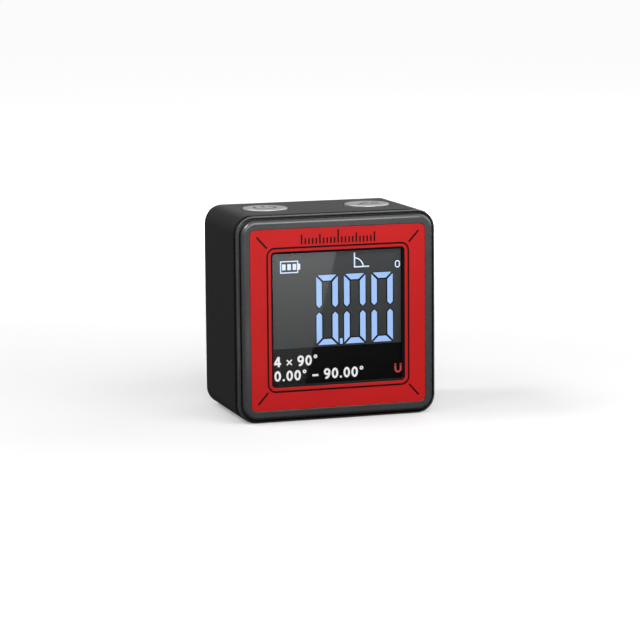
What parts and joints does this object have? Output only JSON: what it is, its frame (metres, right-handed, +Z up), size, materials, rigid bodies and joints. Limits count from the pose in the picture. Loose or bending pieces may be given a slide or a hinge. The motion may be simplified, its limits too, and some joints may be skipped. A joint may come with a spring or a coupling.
{
  "type": "digital angle gauge",
  "caption": "Small square digital angle gauge with a lit display in a red face, push buttons on top and a flat magnetic base.",
  "frame": {"origin": "centre of the flat base", "axes": "+Z up to the buttons, +X to the right as the display is read, -Y out of the display"},
  "size_m": [0.045, 0.028, 0.0452],
  "materials": {
    "housing_plastic": "fine matt moulded texture",
    "bezel_plastic": "satin",
    "red_plate": "satin paint",
    "black_ink": "printed ink",
    "clear_lens": "polished",
    "display_glass": "polished",
    "lit_figures": "lit",
    "white_plastic": "moulded",
    "elastomer": "layered strip",
    "board_laminate": "solder resist",
    "chip_resin": "moulded resin",
    "ceramic": "fired ceramic",
    "ribbon_film": "film",
    "plated_steel": "nickel plated",
    "silver_button": "satin silver",
    "cell_foil": "laminated foil",
    "foam": "soft foam",
    "red_insulation": "extruded",
    "black_insulation": "extruded"
  },
  "bodies": {
    "case": {"main_housing": "housing_plastic", "front_bezel": "bezel_plastic", "face_plate": "red_plate", "plate_lines": "black_ink", "lens": "clear_lens", "lens_mask": "black_ink", "lcd_panel": "display_glass", "lcd_figures": "lit_figures", "lcd_signs": "lit_figures", "backlight": "white_plastic", "elastomer_strip": "elastomer", "main_board": "board_laminate", "controller_chip": "chip_resin", "tilt_sensor": "ceramic", "board_parts": "ceramic", "battery_socket": "white_plastic", "battery_plug": "white_plastic", "main_ribbon_socket": "white_plastic", "board_ribbon": "ribbon_film", "switch_ribbon_socket": "white_plastic", "charging_socket": "plated_steel", "switch_board": "board_laminate", "power_switch": "chip_resin", "angle_switch": "chip_resin", "battery_cell": "cell_foil", "battery_foam": "foam", "lead_positive": "red_insulation", "lead_negative": "black_insulation", "base_magnets": "plated_steel", "case_screws": "plated_steel", "board_screws": "plated_steel", "switch_board_screws": "plated_steel"},
    "power_key": {"power_button": "silver_button", "power_plunger": "chip_resin"},
    "angle_key": {"angle_button": "silver_button", "angle_plunger": "chip_resin"}
  },
  "joints": [
    {"name": "power_press", "type": "slide", "parent": "case", "child": "power_key", "axis": [0, 0, -1], "range_m": [0, 0.0004], "stiffness_N_per_m": 2500, "springref_m": -0.0001},
    {"name": "angle_press", "type": "slide", "parent": "case", "child": "angle_key", "axis": [0, 0, -1], "range_m": [0, 0.0004], "stiffness_N_per_m": 2500, "springref_m": -0.0001}
  ]
}
